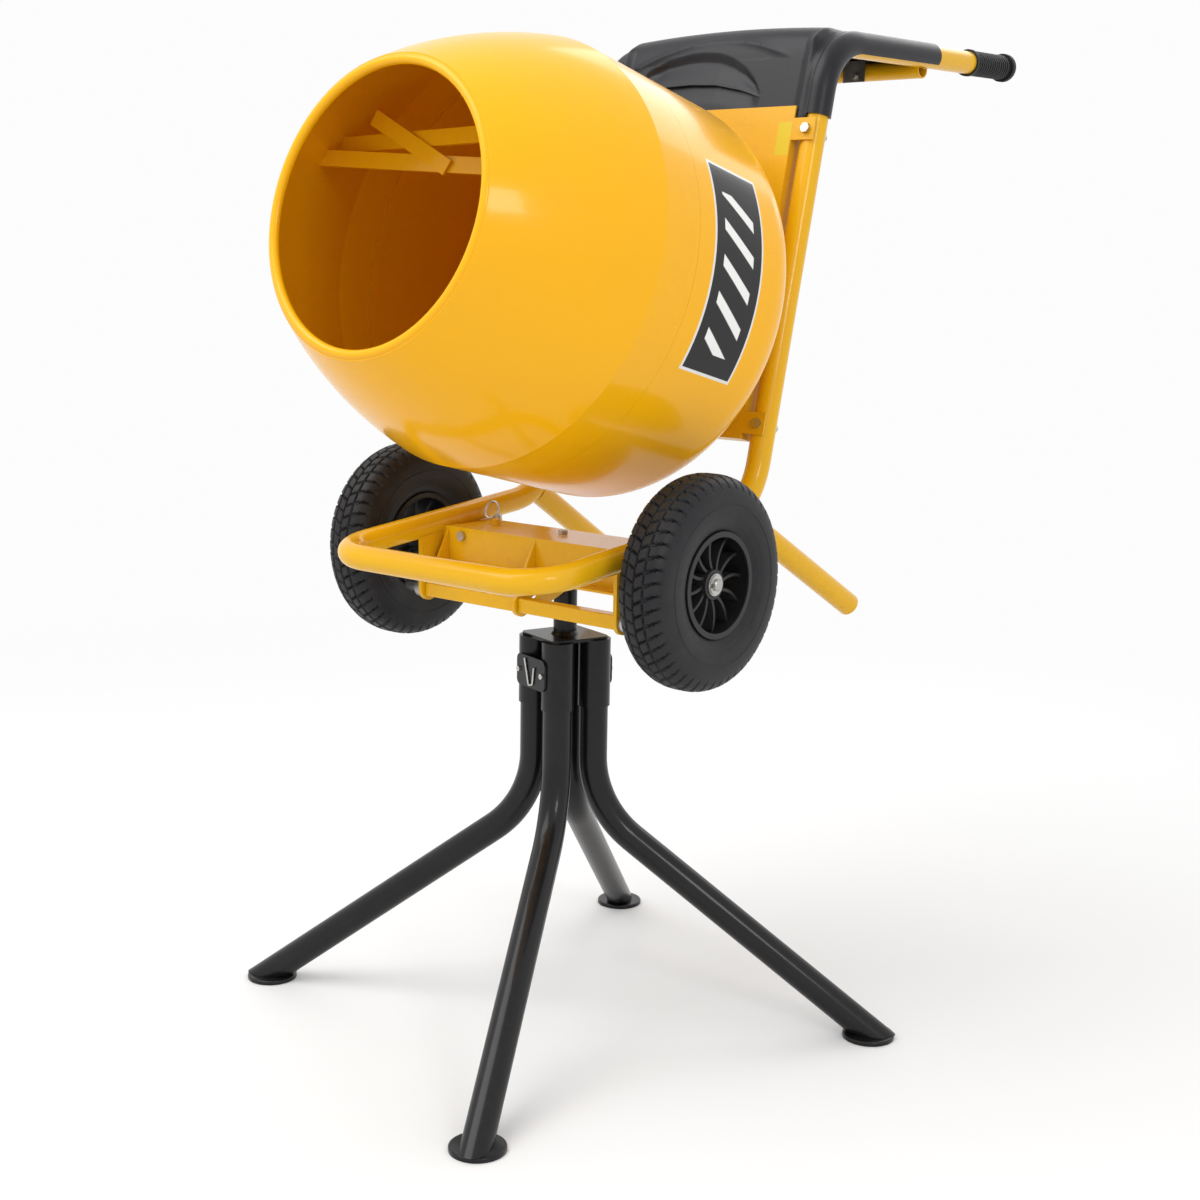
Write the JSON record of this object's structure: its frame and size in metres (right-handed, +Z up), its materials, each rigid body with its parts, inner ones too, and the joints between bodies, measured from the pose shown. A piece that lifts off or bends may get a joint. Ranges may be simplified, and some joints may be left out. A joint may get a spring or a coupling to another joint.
{
  "type": "concrete mixer",
  "caption": "Tip-up concrete mixer: motor-driven drum on a wheeled tube frame with two handles, turning and tipping on a detachable four-leg stand",
  "frame": {"origin": "on the floor under the stand, on the axis of its upright pin", "axes": "+Z up along the stand's pin, -Y towards the drum's mouth, +Y towards the handles, X along the wheel axle"},
  "size_m": [0.8858, 1.3163, 1.453],
  "materials": {
    "stand_black": "gloss black paint",
    "head_paint": "gloss yellow paint",
    "frame_paint": "gloss yellow paint",
    "housing_paint": "yellow paint with a fine orange peel",
    "drum_paint": "gloss yellow paint",
    "zinc": "zinc plated",
    "steel": "bright turned steel",
    "hood_plastic": "satin charcoal plastic",
    "black_plastic": "moulded black plastic",
    "tyre_rubber": "dark rubber",
    "black_rubber": "ribbed rubber",
    "gearbox_alloy": "as cast",
    "winding": "varnished windings",
    "button_green": "moulded green plastic",
    "button_red": "moulded red plastic"
  },
  "bodies": {
    "stand": {"leg_front": "stand_black", "leg_right": "stand_black", "leg_rear": "stand_black", "leg_left": "stand_black", "stand_head": "stand_black", "foot_pads": "stand_black", "leg_lock_plates": "stand_black", "leg_lock_pins": "zinc"},
    "swivel_head": {"swivel_tube": "head_paint", "swivel_arms": "head_paint", "hinge_barrels": "head_paint"},
    "frame": {"front_loop": "frame_paint", "side_tube_right": "frame_paint", "side_tube_left": "frame_paint", "rear_legs": "frame_paint", "handle_crossbar": "frame_paint", "cross_channel": "frame_paint", "web_gussets": "frame_paint", "pivot_plates": "frame_paint", "linch_pin": "zinc", "frame_bolts": "zinc", "buffer": "black_rubber", "tilt_rod": "steel", "wheel_axle": "steel", "collars": "steel", "axle_clips": "zinc", "grips": "black_rubber", "bulkhead": "housing_paint", "rear_cover": "housing_paint", "housing_bolts": "zinc", "hood_bracket": "zinc", "hood": "hood_plastic", "switch_box": "black_plastic", "switch_block": "black_plastic", "power_inlet": "black_plastic", "gearbox_front": "gearbox_alloy", "gearbox_rear": "gearbox_alloy", "gearbox_bearings": "steel", "motor_casing": "gearbox_alloy", "motor_stator": "winding", "drive_belt": "black_rubber"},
    "drum": {"drum_front": "drum_paint", "drum_rear": "drum_paint", "back_disc": "drum_paint", "paddle_lower": "drum_paint", "paddle_upper": "drum_paint", "paddle_cross": "drum_paint", "drum_shaft": "steel", "hub_bolts": "zinc", "drum_gear": "steel"},
    "layshaft": {"layshaft": "steel", "big_pulley": "black_plastic"},
    "motor_rotor": {"motor_rotor": "steel", "motor_pulley": "black_plastic"},
    "wheel_right": {"tyre_right": "tyre_rubber", "wheel_hub_right": "black_plastic"},
    "wheel_left": {"tyre_left": "tyre_rubber", "wheel_hub_left": "black_plastic"},
    "start_button": {"start_button": "button_green"},
    "stop_button": {"stop_button": "button_red"}
  },
  "joints": [
    {"name": "swivel", "type": "hinge", "parent": "stand", "child": "swivel_head", "pos_m": [0, 0, 0.6], "axis": [0, 0, 1], "continuous": true},
    {"name": "tip", "type": "hinge", "parent": "swivel_head", "child": "frame", "pos_m": [0, -0.095, 0.627], "axis": [1, 0, 0], "range_deg": [0, 60]},
    {"name": "drum_spin", "type": "hinge", "parent": "frame", "child": "drum", "pos_m": [0, 0.20942, 1.02343], "axis": [0, 0.9724, -0.2334], "continuous": true},
    {"name": "layshaft_spin", "type": "hinge", "parent": "frame", "child": "layshaft", "pos_m": [0, 0.32417, 1.07302], "axis": [0, 0.9724, -0.2334], "continuous": true},
    {"name": "motor_spin", "type": "hinge", "parent": "frame", "child": "motor_rotor", "pos_m": [0, 0.35101, 1.18484], "axis": [0, 0.9724, -0.2334], "continuous": true},
    {"name": "wheel_right_spin", "type": "hinge", "parent": "frame", "child": "wheel_right", "pos_m": [0.274, -0.043, 0.686], "axis": [1, 0, 0], "continuous": true},
    {"name": "wheel_left_spin", "type": "hinge", "parent": "frame", "child": "wheel_left", "pos_m": [-0.274, -0.043, 0.686], "axis": [1, 0, 0], "continuous": true},
    {"name": "start_press", "type": "slide", "parent": "frame", "child": "start_button", "axis": [0, -0.9724, 0.2334], "range_m": [0, 0.003], "stiffness_N_per_m": 400},
    {"name": "stop_press", "type": "slide", "parent": "frame", "child": "stop_button", "axis": [0, -0.9724, 0.2334], "range_m": [0, 0.003], "stiffness_N_per_m": 400}
  ],
  "couplings": [
    {"joint": "layshaft_spin", "follows": "drum_spin", "ratio": -4},
    {"joint": "motor_spin", "follows": "drum_spin", "ratio": -12}
  ]
}
